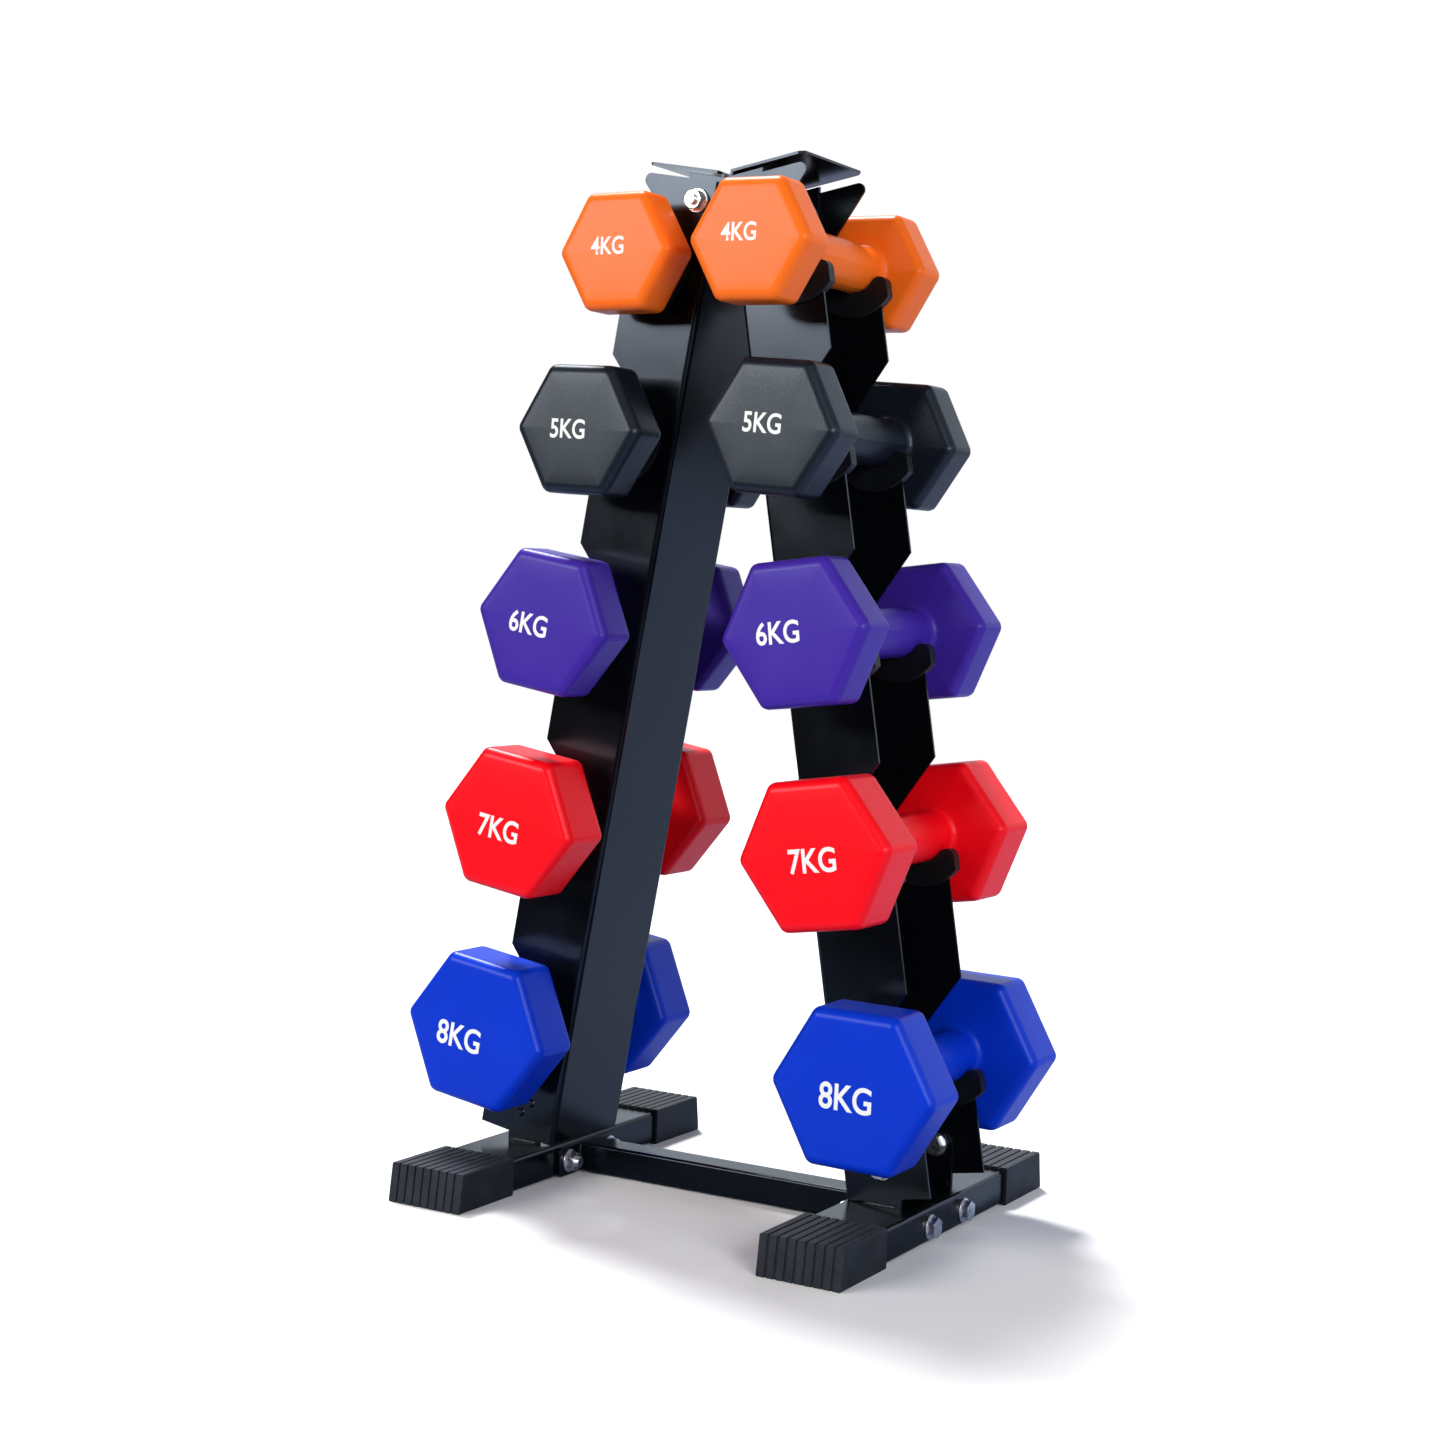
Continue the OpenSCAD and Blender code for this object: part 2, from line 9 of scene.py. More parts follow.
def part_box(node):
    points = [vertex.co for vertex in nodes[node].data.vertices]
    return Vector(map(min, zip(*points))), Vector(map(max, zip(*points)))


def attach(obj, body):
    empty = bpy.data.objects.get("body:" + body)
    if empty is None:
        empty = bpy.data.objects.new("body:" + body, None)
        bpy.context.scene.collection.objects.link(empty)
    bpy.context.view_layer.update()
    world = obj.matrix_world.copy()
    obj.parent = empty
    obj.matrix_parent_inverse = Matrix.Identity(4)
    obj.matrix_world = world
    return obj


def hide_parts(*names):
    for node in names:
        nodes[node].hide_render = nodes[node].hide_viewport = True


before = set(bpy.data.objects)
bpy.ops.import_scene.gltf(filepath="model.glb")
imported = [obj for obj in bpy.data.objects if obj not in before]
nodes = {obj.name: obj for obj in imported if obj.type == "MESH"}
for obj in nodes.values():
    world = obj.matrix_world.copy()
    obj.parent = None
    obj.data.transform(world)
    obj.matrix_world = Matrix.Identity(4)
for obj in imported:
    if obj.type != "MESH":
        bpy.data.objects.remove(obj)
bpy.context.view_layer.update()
MM = 0.001
random.seed(4)


# ---- Feet -----------------------------------------------------------------
# Two closed rectangular steel tubes that lie front to back on the floor.
# Cut, drilled, blasted and powder coated satin black; the tube's mill corners
# and the sawn ends keep a small radius under the coat.

COAT_BLACK = "#040507"
COAT_THIN = "#090b0f"
PEEL_SIZE = 2.2 * MM        # cells of orange peel; the real ones are 1 mm, too fine to show
SHEET_EDGE = 0.35 * MM      # radius of a deburred, coated edge
WELD_GAP = 0.004 * MM       # corners of a mesh this close are one corner
FLAT_WITHIN = math.radians(0.6)
SHARP_OVER = 35.0           # degrees between two faces that meet in an edge to round
FACE_PULL = 80              # how strongly large flats set the shading next to round edges


def linear(hex_colour):
    """An sRGB hex colour as linear RGBA."""
    parts = [int(hex_colour[i:i + 2], 16) / 255 for i in (1, 3, 5)]
    straight = [c / 12.92 if c <= 0.04045 else ((c + 0.055) / 1.055) ** 2.4 for c in parts]
    return straight + [1.0]


def add_node(tree, kind, inputs=None, **settings):
    """Adds a shader node. inputs maps a socket to a value or to the output that feeds it."""
    made = tree.nodes.new(kind)
    for name, value in settings.items():
        setattr(made, name, value)
    for socket, value in (inputs or {}).items():
        if isinstance(value, bpy.types.NodeSocket):
            tree.links.new(value, made.inputs[socket])
        else:
            made.inputs[socket].default_value = value
    return made


def new_material(name):
    """An empty node material, its tree and its object coordinates."""
    material = bpy.data.materials.new(name)
    material.use_nodes = True
    tree = material.node_tree
    tree.nodes.clear()
    place = add_node(tree, "ShaderNodeTexCoord").outputs["Object"]
    return material, tree, place


def finish_material(tree, surface):
    """Sends the shader to the material's output."""
    add_node(tree, "ShaderNodeOutputMaterial", {"Surface": surface.outputs[0]})


def powder_coated_steel():
    """Polyester powder baked on blasted steel: satin, slightly blue black, with a
    fine orange peel that breaks up the edge of every reflection, and thin
    patches that read a shade lighter."""
    material, tree, place = new_material("powder-coated steel")
    patches = add_node(tree, "ShaderNodeTexNoise",
                       {"Vector": place, "Scale": 22.0, "Detail": 4.0, "Roughness": 0.55})
    peel = add_node(tree, "ShaderNodeTexNoise",
                    {"Vector": place, "Scale": 1 / PEEL_SIZE, "Detail": 2.0})
    colour = add_node(tree, "ShaderNodeMix",
                      {0: patches.outputs["Fac"], 6: linear(COAT_BLACK), 7: linear(COAT_THIN)},
                      data_type="RGBA")
    rough = add_node(tree, "ShaderNodeMapRange",
                     {"Value": patches.outputs["Fac"], "From Min": 0.3, "From Max": 0.7,
                      "To Min": 0.17, "To Max": 0.24})
    bump = add_node(tree, "ShaderNodeBump",
                    {"Strength": 0.16, "Distance": 0.1 * MM, "Height": peel.outputs["Fac"]})
    shader = add_node(tree, "ShaderNodeBsdfPrincipled",
                      {"Base Color": colour.outputs[2], "Roughness": rough.outputs[0],
                       "Normal": bump.outputs[0], "IOR": 1.42,
                       "Specular Tint": (0.66, 0.79, 1.0, 1.0)})
    finish_material(tree, shader)
    return material


def merged_mesh(node):
    """A CAD node's mesh as a bmesh, its triangles joined and its flat faces made whole."""
    bm = bmesh.new()
    bm.from_mesh(nodes[node].data)
    bmesh.ops.remove_doubles(bm, verts=bm.verts, dist=WELD_GAP)
    bmesh.ops.dissolve_limit(bm, angle_limit=FLAT_WITHIN, verts=bm.verts,
                             edges=bm.edges, use_dissolve_boundaries=False)
    return bm


def new_piece(name, bm, material, body):
    """Makes an object from a finished bmesh, gives it its finish and lets it ride."""
    for face in bm.faces:
        face.smooth = True
    mesh = bpy.data.meshes.new(name)
    bm.to_mesh(mesh)
    bm.free()
    mesh.materials.append(material)
    piece = bpy.data.objects.new(name, mesh)
    bpy.context.scene.collection.objects.link(piece)
    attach(piece, body)
    return piece


def keep_flats_flat(piece):
    """Lets the large flats set the shading where they meet round edges."""
    flats = piece.modifiers.new("flat flats", "WEIGHTED_NORMAL")
    flats.keep_sharp = True
    flats.weight = FACE_PULL


def ease_edges(piece, radius, angle):
    """Rounds a piece's sharp edges."""
    bevel = piece.modifiers.new("eased edges", "BEVEL")
    bevel.width = radius
    bevel.segments = 2
    bevel.limit_method = "ANGLE"
    bevel.angle_limit = math.radians(angle)
    bevel.use_clamp_overlap = True


def eased_copy(node, radius, material, body, angle=SHARP_OVER):
    """A merged copy of a CAD node with eased edges, which stands for it."""
    piece = new_piece(node + "_finished", merged_mesh(node), material, body)
    ease_edges(piece, radius, angle)
    keep_flats_flat(piece)
    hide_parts(node)


steel = powder_coated_steel()
for side in ("left", "right"):
    eased_copy(side + "_foot_tube", SHEET_EDGE, steel, "rack")


# ---- End caps -------------------------------------------------------------
# Four sleeves of soft black PVC pushed over the ends of the feet. Injection
# moulded, with nine ribs over the top and down the leaning nose for grip, and
# a matt spark-eroded grain.

CAP_BLACK = "#121419"
CAP_WORN = "#1f2229"
CAP_EDGE = 0.4 * MM
CAP_GRAIN = 1.4 * MM        # spark-eroded grain, twice the real size so that it shows
CAP_GRAIN_DEPTH = 0.12 * MM


def moulded_rubber(name, dark, light, grain, depth, roughness):
    """Injection-moulded soft PVC: matt, with a fine even grain from the mould and
    scuffs that turn greyer where hands and floors rub."""
    material, tree, place = new_material(name)
    scuffs = add_node(tree, "ShaderNodeTexNoise",
                      {"Vector": place, "Scale": 60.0, "Detail": 6.0, "Roughness": 0.65})
    spread = add_node(tree, "ShaderNodeMapRange",
                      {"Value": scuffs.outputs["Fac"], "From Min": 0.42, "From Max": 0.68})
    pits = add_node(tree, "ShaderNodeTexNoise",
                    {"Vector": place, "Scale": 1 / grain, "Detail": 3.0, "Roughness": 0.6})
    colour = add_node(tree, "ShaderNodeMix",
                      {0: spread.outputs[0], 6: linear(dark), 7: linear(light)},
                      data_type="RGBA")
    rough = add_node(tree, "ShaderNodeMapRange",
                     {"Value": pits.outputs["Fac"], "To Min": roughness - 0.08,
                      "To Max": roughness + 0.1})
    bump = add_node(tree, "ShaderNodeBump",
                    {"Strength": 0.5, "Distance": depth, "Height": pits.outputs["Fac"]})
    shader = add_node(tree, "ShaderNodeBsdfPrincipled",
                      {"Base Color": colour.outputs[2], "Roughness": rough.outputs[0],
                       "Normal": bump.outputs[0], "IOR": 1.42, "Sheen Weight": 0.03,
                       "Sheen Roughness": 0.5, "Specular Tint": (0.8, 0.88, 1.0, 1.0)})
    finish_material(tree, shader)
    return material


cap_rubber = moulded_rubber("moulded PVC end cap", CAP_BLACK, CAP_WORN,
                            CAP_GRAIN, CAP_GRAIN_DEPTH, 0.56)
for corner in ("left_front", "left_back", "right_front", "right_back"):
    eased_copy(corner + "_cap", CAP_EDGE, cap_rubber, "rack")


# ---- Foot brackets and their welds ----------------------------------------
# Four round-topped tabs of 3 mm plate that stand on the feet behind the legs'
# flanges. Laser cut, then MIG welded along the outside of the foot before the
# coat went on, so the bead shows as a row of glossy black scales.

BEAD_RADIUS = 2.0 * MM
BEAD_STEP = 1.9 * MM
BEAD_LIFT = 0.45            # share of its radius that a scale's middle stands above the joint
BEAD_SINK = 0.6 * MM
BEAD_OFF = 0.3 * MM         # from the tab's face to the bead's middle
BEAD_SHORT = 4.0 * MM       # from the tab's edge to the bead's end
SCALE_LEAN = math.radians(24)
WELD_BLACK = "#15171c"
WELD_THIN = "#2a2e37"


def coated_weld():
    """MIG bead under powder: the same black, but the coat pools and shines on the
    scales, so each ripple carries a small bright glint."""
    material, tree, place = new_material("powder-coated weld")
    ripple = add_node(tree, "ShaderNodeTexNoise",
                      {"Vector": place, "Scale": 900.0, "Detail": 3.0})
    colour = add_node(tree, "ShaderNodeMix",
                      {0: ripple.outputs["Fac"], 6: linear(WELD_BLACK), 7: linear(WELD_THIN)},
                      data_type="RGBA")
    bump = add_node(tree, "ShaderNodeBump",
                    {"Strength": 0.3, "Distance": 0.2 * MM, "Height": ripple.outputs["Fac"]})
    shader = add_node(tree, "ShaderNodeBsdfPrincipled",
                      {"Base Color": colour.outputs[2], "Roughness": 0.16,
                       "Normal": bump.outputs[0], "IOR": 1.5})
    finish_material(tree, shader)
    return material


def weld_bead(name, start, end, material, radius=BEAD_RADIUS):
    """A straight row of overlapping scales from start to end."""
    bm = bmesh.new()
    run = end - start
    count = max(2, round(run.length / BEAD_STEP))
    along = run.to_track_quat("X", "Z").to_matrix().to_4x4()
    for step in range(count + 1):
        size = radius * random.uniform(0.86, 1.08)
        middle = start + run * (step / count)
        middle.z += random.uniform(-0.1, 0.1) * MM
        stretch = Matrix.Diagonal((0.75, 1.0, random.uniform(0.8, 0.95), 1.0))
        lean = Matrix.Rotation(SCALE_LEAN, 4, "Y")
        bmesh.ops.create_icosphere(bm, subdivisions=2, radius=size,
                                   matrix=Matrix.Translation(middle) @ along @ lean @ stretch)
    new_piece(name, bm, material, "rack")


weld = coated_weld()
for corner in ("left_front", "left_back", "right_front", "right_back"):
    bracket = corner + "_bracket"
    eased_copy(bracket, SHEET_EDGE, steel, "rack")
    low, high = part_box(bracket)
    foot_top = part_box(corner.split("_")[0] + "_foot_tube")[1].z
    outer_y = high.y if abs(high.y) > abs(low.y) else low.y
    bead_y = outer_y + math.copysign(BEAD_OFF, outer_y)
    bead_z = foot_top + BEAD_RADIUS * BEAD_LIFT - BEAD_SINK
    weld_bead(corner + "_bracket_weld", Vector((low.x + BEAD_SHORT, bead_y, bead_z)),
              Vector((high.x - BEAD_SHORT, bead_y, bead_z)), weld)


# ---- Cross tube and end plates --------------------------------------------
# A rectangular steel tube between the feet, a drilled plate welded on each end.
# The plates lie flat against the feet and two long bolts clamp each one.

TUBE_BEAD_RADIUS = 1.5 * MM
TUBE_BEAD_SHORT = 2.5 * MM

eased_copy("cross_tube", SHEET_EDGE, steel, "rack")
tube_low, tube_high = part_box("cross_tube")
for side in ("left", "right"):
    eased_copy(side + "_end_plate", SHEET_EDGE, steel, "rack")
    plate_low, plate_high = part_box(side + "_end_plate")
    joint_x = plate_high.x if side == "left" else plate_low.x
    for tag, y in (("front", tube_low.y), ("back", tube_high.y)):
        weld_bead(side + "_tube_weld_" + tag,
                  Vector((joint_x, y, tube_low.z + TUBE_BEAD_SHORT)),
                  Vector((joint_x, y, tube_high.z - TUBE_BEAD_SHORT)), weld, TUBE_BEAD_RADIUS)


# ---- Legs -----------------------------------------------------------------
# Each leg is one blank of 2 mm sheet: laser cut with its five pairs of notches,
# folded into a channel, and folded once more at the top into a small roof.
# Powder coated inside and out.

for side in ("left", "right"):
    eased_copy(side + "_leg", SHEET_EDGE, steel, "rack")


# ---- Tie plates -----------------------------------------------------------
# Two laser-cut plates that pass through slots in both webs, behind the
# flanges, and hold the two legs together at the top.

for end in ("front", "back"):
    eased_copy(end + "_tie_plate", SHEET_EDGE, steel, "rack")


# ---- Saddles --------------------------------------------------------------
# Twenty cradles of black nylon, one on the edge of every notch. Injection
# moulded with a slot that grips the sheet, and smooth where a handle lies.

SADDLE_BLACK = "#08090b"
SADDLE_WORN = "#101216"
SADDLE_EDGE = 0.9 * MM
SADDLE_GRAIN = 1.8 * MM     # coarser than the real one so that it shows
SADDLE_GRAIN_DEPTH = 0.06 * MM

saddle_nylon = moulded_rubber("moulded nylon saddle", SADDLE_BLACK, SADDLE_WORN,
                              SADDLE_GRAIN, SADDLE_GRAIN_DEPTH, 0.42)
for side in ("left", "right"):
    for tier in range(1, 6):
        eased_copy(f"{side}_saddles_{tier}", SADDLE_EDGE, saddle_nylon, "rack")


# ---- Bolts, nuts, washers and pins ----------------------------------------
# Cold-forged M8 hardware with bright zinc plate: flanged hex bolts through the
# feet, the ties and the right leg, plain nuts on washers, and small dark
# dome-headed pins through the left leg.

BOLT_EDGE = 0.3 * MM
BOLT_SHARP_OVER = 28.0      # the same for small forged parts
ZINC_COOL = "#dde2ea"
ZINC_WARM = "#f6f6f3"


def zinc_plate():
    """Bright zinc electroplate on forged steel: a cool silver mirror, broken up by
    fine forging pits, handling scratches and faint blue passivation."""
    material, tree, place = new_material("bright zinc plate")
    tint = add_node(tree, "ShaderNodeTexNoise",
                    {"Vector": place, "Scale": 240.0, "Detail": 3.0})
    pits = add_node(tree, "ShaderNodeTexNoise",
                    {"Vector": place, "Scale": 1500.0, "Detail": 4.0, "Roughness": 0.7})
    colour = add_node(tree, "ShaderNodeMix",
                      {0: tint.outputs["Fac"], 6: linear(ZINC_COOL), 7: linear(ZINC_WARM)},
                      data_type="RGBA")
    rough = add_node(tree, "ShaderNodeMapRange",
                     {"Value": tint.outputs["Fac"], "From Min": 0.3, "From Max": 0.7,
                      "To Min": 0.24, "To Max": 0.4})
    bump = add_node(tree, "ShaderNodeBump",
                    {"Strength": 0.35, "Distance": 0.06 * MM, "Height": pits.outputs["Fac"]})
    shader = add_node(tree, "ShaderNodeBsdfPrincipled",
                      {"Base Color": colour.outputs[2], "Metallic": 1.0,
                       "Roughness": rough.outputs[0], "Normal": bump.outputs[0]})
    finish_material(tree, shader)
    return material


zinc = zinc_plate()
for name in ("top_bolts", "top_nuts", "top_washers", "leg_bolts", "leg_nuts", "leg_washers",
             "foot_bolts", "foot_nuts", "foot_washers"):
    eased_copy(name, BOLT_EDGE, zinc, "rack", BOLT_SHARP_OVER)
eased_copy("leg_rivets", BOLT_EDGE, steel, "rack", BOLT_SHARP_OVER)


# ---- Dumbbells ------------------------------------------------------------
# Five pairs of hex dumbbells, 4 to 8 kg. Each is one iron casting dipped in
# vinyl: two hexagonal heads with soft rims, a soft fillet from each to the
# handle, and a faint parting ridge along the handle from the core's mould.

# Sizes in millimetres and turns in degrees, one for each weight.
WEIGHTS = (4, 5, 6, 7, 8)
FLATS = (85.8, 94.5, 102.5, 104.8, 111.5)
HEAD_LENGTHS = (36.0, 38.5, 40.0, 49.5, 47.0)
HEAD_GAPS = (143.0, 148.0, 151.0, 142.0, 128.0)
HANDLE_RADII = (17.5, 17.7, 17.9, 18.0, 18.1)
LEFT_TURNS = (0.5, 2.5, 9.3, 9.1, 8.6)
RIGHT_TURNS = (1.5, 4.4, -7.0, -8.4, 1.2)

# Sizes that all of them share, in millimetres.
FACE_RISE = 2.0             # of the inner face from its rim to the fillet
FILLET = 6.0                # between the inner face and the handle
HANDLE_SWELL = 1.2
CROWN = 0.5
RIDGE_RADIUS = 7.0          # of a head's six long edges
RIM_RADIUS = 7.5
SKIN = 0.15                 # the soft skin stays this far inside the nominal flats
SEAM_HEIGHT = 0.3
SEAM_HALF = math.radians(1.5)     # half the angle that the ridge takes up
SAME_PLACE = 0.001          # corners this close are one corner

RIDGE_SEGMENTS = 4
RIM_SEGMENTS = 5
CROWN_RINGS = (0.8, 0.55, 0.28)
FACE_RINGS = 4
FILLET_RINGS = 7
HANDLE_RINGS = 14
SEAM_RINGS = 3              # rings in which the parting ridge reaches its height
EDGE_CUTS = 4               # cuts in each long edge of the inner face, for the round fillet
END_ON = 0.999              # a face whose normal is this close to the axis is an end face

# Colour, its light and dark shade, grain depth in millimetres, share of pale
# flecks painted on the grain's crests as a painted highlight, and IOR. The black
# coat has the deepest grain and the most shine: real from its higher IOR, and
# painted highlight from its larger share of pale flecks.
COATS = (("orange", "#ff741c", "#f86a16", 0.1, 0.012, 1.3),
         ("black", "#141923", "#0c111b", 0.16, 0.05, 1.42),
         ("purple", "#43299e", "#3b2194", 0.1, 0.012, 1.3),
         ("red", "#ff0616", "#f80414", 0.1, 0.012, 1.3),
         ("blue", "#0036c8", "#0030be", 0.1, 0.012, 1.3))
COAT_GRAIN = 0.9 * MM
COAT_ROUGHNESS = 0.36
# Pale colour of the painted highlight flecks on the grain's crests.
PAINTED_GLINT_COLOUR = "#c8d0e0"


def dipped_vinyl(name, light, dark, depth, painted_glint_share, ior):
    """Cast iron dipped in coloured plastisol: matt, a little soft to the eye, with a
    fine leathery grain, a tone that varies a shade at random, and faint pale
    flecks painted on the grain's crests as a painted highlight where light would
    catch, so the pits read a shade darker."""
    material, tree, place = new_material(name)
    clouds = add_node(tree, "ShaderNodeTexNoise",
                      {"Vector": place, "Scale": 30.0, "Detail": 3.0})
    skin = add_node(tree, "ShaderNodeTexNoise",
                    {"Vector": place, "Scale": 1 / COAT_GRAIN, "Detail": 4.0, "Roughness": 0.62})
    colour = add_node(tree, "ShaderNodeMix",
                      {0: clouds.outputs["Fac"], 6: linear(dark), 7: linear(light)},
                      data_type="RGBA")
    # Painted highlight: the crests of the grain are mixed towards a pale colour, where light would
    # catch.
    painted_glint_mask = add_node(tree, "ShaderNodeMapRange",
                     {"Value": skin.outputs["Fac"], "From Min": 0.55, "From Max": 0.75,
                      "To Min": 0.0, "To Max": painted_glint_share})
    colour_with_painted_glints = add_node(tree, "ShaderNodeMix",
                       {0: painted_glint_mask.outputs[0], 6: colour.outputs[2], 7: linear(PAINTED_GLINT_COLOUR)},
                       data_type="RGBA")
    rough = add_node(tree, "ShaderNodeMapRange",
                     {"Value": skin.outputs["Fac"], "From Min": 0.3, "From Max": 0.7,
                      "To Min": COAT_ROUGHNESS + 0.06, "To Max": COAT_ROUGHNESS - 0.06})
    bump = add_node(tree, "ShaderNodeBump",
                    {"Strength": 0.35, "Distance": depth, "Height": skin.outputs["Fac"]})
    shader = add_node(tree, "ShaderNodeBsdfPrincipled",
                      {"Base Color": colour_with_painted_glints.outputs[2], "Roughness": rough.outputs[0],
                       "Normal": bump.outputs[0], "IOR": ior,
                       "Specular Tint": (0.75, 0.86, 1.0, 1.0)})
    finish_material(tree, shader)
    return material


def hex_reach(x, z, flats):
    """How far out a point lies on a head's face: 0 in the middle, 1 at the flats."""
    angles = [math.radians(30 + 60 * n) for n in range(6)]
    return max(x * math.cos(a) + z * math.sin(a) for a in angles) / (flats / 2)


def crown_at(x, z, flats):
    """Height of the slightly crowned end face over its edge."""
    return CROWN * (1 - min(1.0, hex_reach(x, z, flats)) ** 2)


def crown_point(co, y, flats):
    """The point of the crowned end face at co's x and z, where y is its edge."""
    return Vector((co.x, y + crown_at(co.x, co.z, flats), co.z))


def round_point(radius, angle, y):
    """A point at a radius and an angle about the dumbbell's axis."""
    return Vector((radius * math.cos(angle), y, radius * math.sin(angle)))


def seam_at(angle, height):
    """Height of the parting ridge, which runs along both sides in line with two corners."""
    off = abs(math.sin(angle))
    return height if off < math.sin(SEAM_HALF) else 0.0


def end_face(bm, outermost):
    """The one face that looks straight along the axis at the outer or inner end."""
    flat = [f for f in bm.faces if abs(f.normal.y) > END_ON and len(f.verts) > 4]
    return max(flat, key=lambda f: f.calc_center_median().y * (1 if outermost else -1))


def step_in(bm, face, corners):
    """Extrudes a face and puts its new corners at these places, in the face's own order."""
    face = bmesh.ops.extrude_discrete_faces(bm, faces=[face])["faces"][0]
    for vert, corner in zip(face.verts, corners):
        vert.co = corner
    face.normal_update()
    return face


def hex_head(flats, length, inner):
    """A hexagonal head along +Y from inner, with rounded ridges and rims."""
    bm = bmesh.new()
    upright = Matrix.Rotation(math.radians(90), 4, "X") @ Matrix.Rotation(math.radians(90), 4, "Z")
    middle = Matrix.Translation((0, inner + length / 2, 0))
    bmesh.ops.create_cone(bm, cap_ends=True, segments=6, radius1=flats / math.sqrt(3),
                          radius2=flats / math.sqrt(3), depth=length, matrix=middle @ upright)
    ridges = [e for e in bm.edges if abs(e.verts[0].co.y - e.verts[1].co.y) > length / 2]
    bmesh.ops.bevel(bm, geom=ridges, affect="EDGES",
                    offset=RIDGE_RADIUS * math.tan(math.radians(30)),
                    offset_type="OFFSET", segments=RIDGE_SEGMENTS, profile=0.5, material=-1)
    bm.normal_update()
    rims = [e for f in bm.faces if abs(f.normal.y) > END_ON for e in f.edges]
    bmesh.ops.bevel(bm, geom=rims, affect="EDGES", offset=RIM_RADIUS,
                    offset_type="OFFSET", segments=RIM_SEGMENTS, profile=0.5, material=-1)
    bm.normal_update()
    return bm


def half_bell(flats, length, gap, grip):
    """One head and its half of the handle, along +Y."""
    inner = gap / 2
    bm = hex_head(flats, length, inner)

    # The end face rises to a faint crown in three steps.
    face = end_face(bm, True)
    rim = [v.co.copy() for v in face.verts]
    for share in CROWN_RINGS:
        face = step_in(bm, face, [crown_point(co * share, inner + length, flats) for co in rim])

    # The inner face climbs in rings from the hexagon to the fillet.
    face = end_face(bm, False)
    span = max(e.calc_length() for e in face.edges)
    long_edges = [e for e in face.edges if e.calc_length() > span / 2]
    bmesh.ops.subdivide_edges(bm, edges=long_edges, cuts=EDGE_CUTS)
    bm.normal_update()
    face = end_face(bm, False)
    outline = [(math.hypot(v.co.x, v.co.z), math.atan2(v.co.z, v.co.x)) for v in face.verts]
    for n in range(1, FACE_RINGS + 1):
        share = n / FACE_RINGS
        y = inner - FACE_RISE * share
        face = step_in(bm, face, [round_point(reach + (grip + FILLET - reach) * share, angle, y)
                                  for reach, angle in outline])

    # The fillet turns a quarter circle, and the handle swells towards its middle.
    angles = [angle for reach, angle in outline]
    for n in range(1, FILLET_RINGS + 1):
        swing = math.radians(90) * n / FILLET_RINGS
        y = inner - FACE_RISE - FILLET * (1 - math.cos(swing))
        radius = grip + FILLET * (1 - math.sin(swing))
        face = step_in(bm, face, [round_point(radius, angle, y) for angle in angles])
    neck = inner - FACE_RISE - FILLET
    for n in range(1, HANDLE_RINGS + 1):
        y = neck * (1 - n / HANDLE_RINGS)
        radius = grip + HANDLE_SWELL * (1 - (y / neck) ** 2)
        seam = SEAM_HEIGHT * min(1.0, n / SEAM_RINGS)
        face = step_in(bm, face, [round_point(radius + seam_at(angle, seam), angle, y)
                                  for angle in angles])
    bmesh.ops.delete(bm, geom=[face], context="FACES_ONLY")
    return bm


def hex_bell(flats, length, gap, grip, seat):
    """A whole dumbbell, laid in its saddles by the matrix seat."""
    bm = half_bell(flats - 2 * SKIN, length, gap, grip)
    bmesh.ops.mirror(bm, geom=bm.verts[:] + bm.edges[:] + bm.faces[:], axis="Y",
                     merge_dist=SAME_PLACE)
    bmesh.ops.remove_doubles(bm, verts=bm.verts, dist=SAME_PLACE)
    bmesh.ops.recalc_face_normals(bm, faces=bm.faces)
    bmesh.ops.transform(bm, matrix=seat, verts=bm.verts)
    return bm


# The marks are screen printed in white on the front face only, off the middle,
# as each dumbbell came out of its jig: how far right and up, in millimetres.
PRINT_WHITE = "#f7f7f4"
PRINT_THIN = "#e9e9e6"
PRINT_HEIGHT = (12.4, 13.6, 15.2, 16.4, 18.0)
PRINT_SQUEEZE = 0.86        # the figures are a little narrow
PRINT_CAPITAL = 0.7         # share of the letter size that a capital stands high
PRINT_BOLD = 0.026          # share of their height by which the strokes are widened
PRINT_PROUD = 0.08
PRINT_SAME_PLACE = 0.002
LEFT_PRINTS = ((-4.3, 2.8), (-6.1, -0.7), (-8.6, -3.7), (-3.8, -6.0), (-10.4, -7.0))
RIGHT_PRINTS = ((-5.8, 3.7), (-4.6, 1.2), (-10.2, 0.5), (0.8, -3.9), (-2.3, -5.1))


def screen_print():
    """White two-part ink on vinyl: opaque, eggshell, thinner at the crests of the
    grain so that it isn't a dead flat white."""
    material, tree, place = new_material("screen-print ink")
    weave = add_node(tree, "ShaderNodeTexNoise",
                     {"Vector": place, "Scale": 700.0, "Detail": 3.0})
    colour = add_node(tree, "ShaderNodeMix",
                      {0: weave.outputs["Fac"], 6: linear(PRINT_THIN), 7: linear(PRINT_WHITE)},
                      data_type="RGBA")
    bump = add_node(tree, "ShaderNodeBump",
                    {"Strength": 0.2, "Distance": 0.05 * MM, "Height": weave.outputs["Fac"]})
    shader = add_node(tree, "ShaderNodeBsdfPrincipled",
                      {"Base Color": colour.outputs[2], "Roughness": 0.5,
                       "Normal": bump.outputs[0], "IOR": 1.48})
    finish_material(tree, shader)
    return material


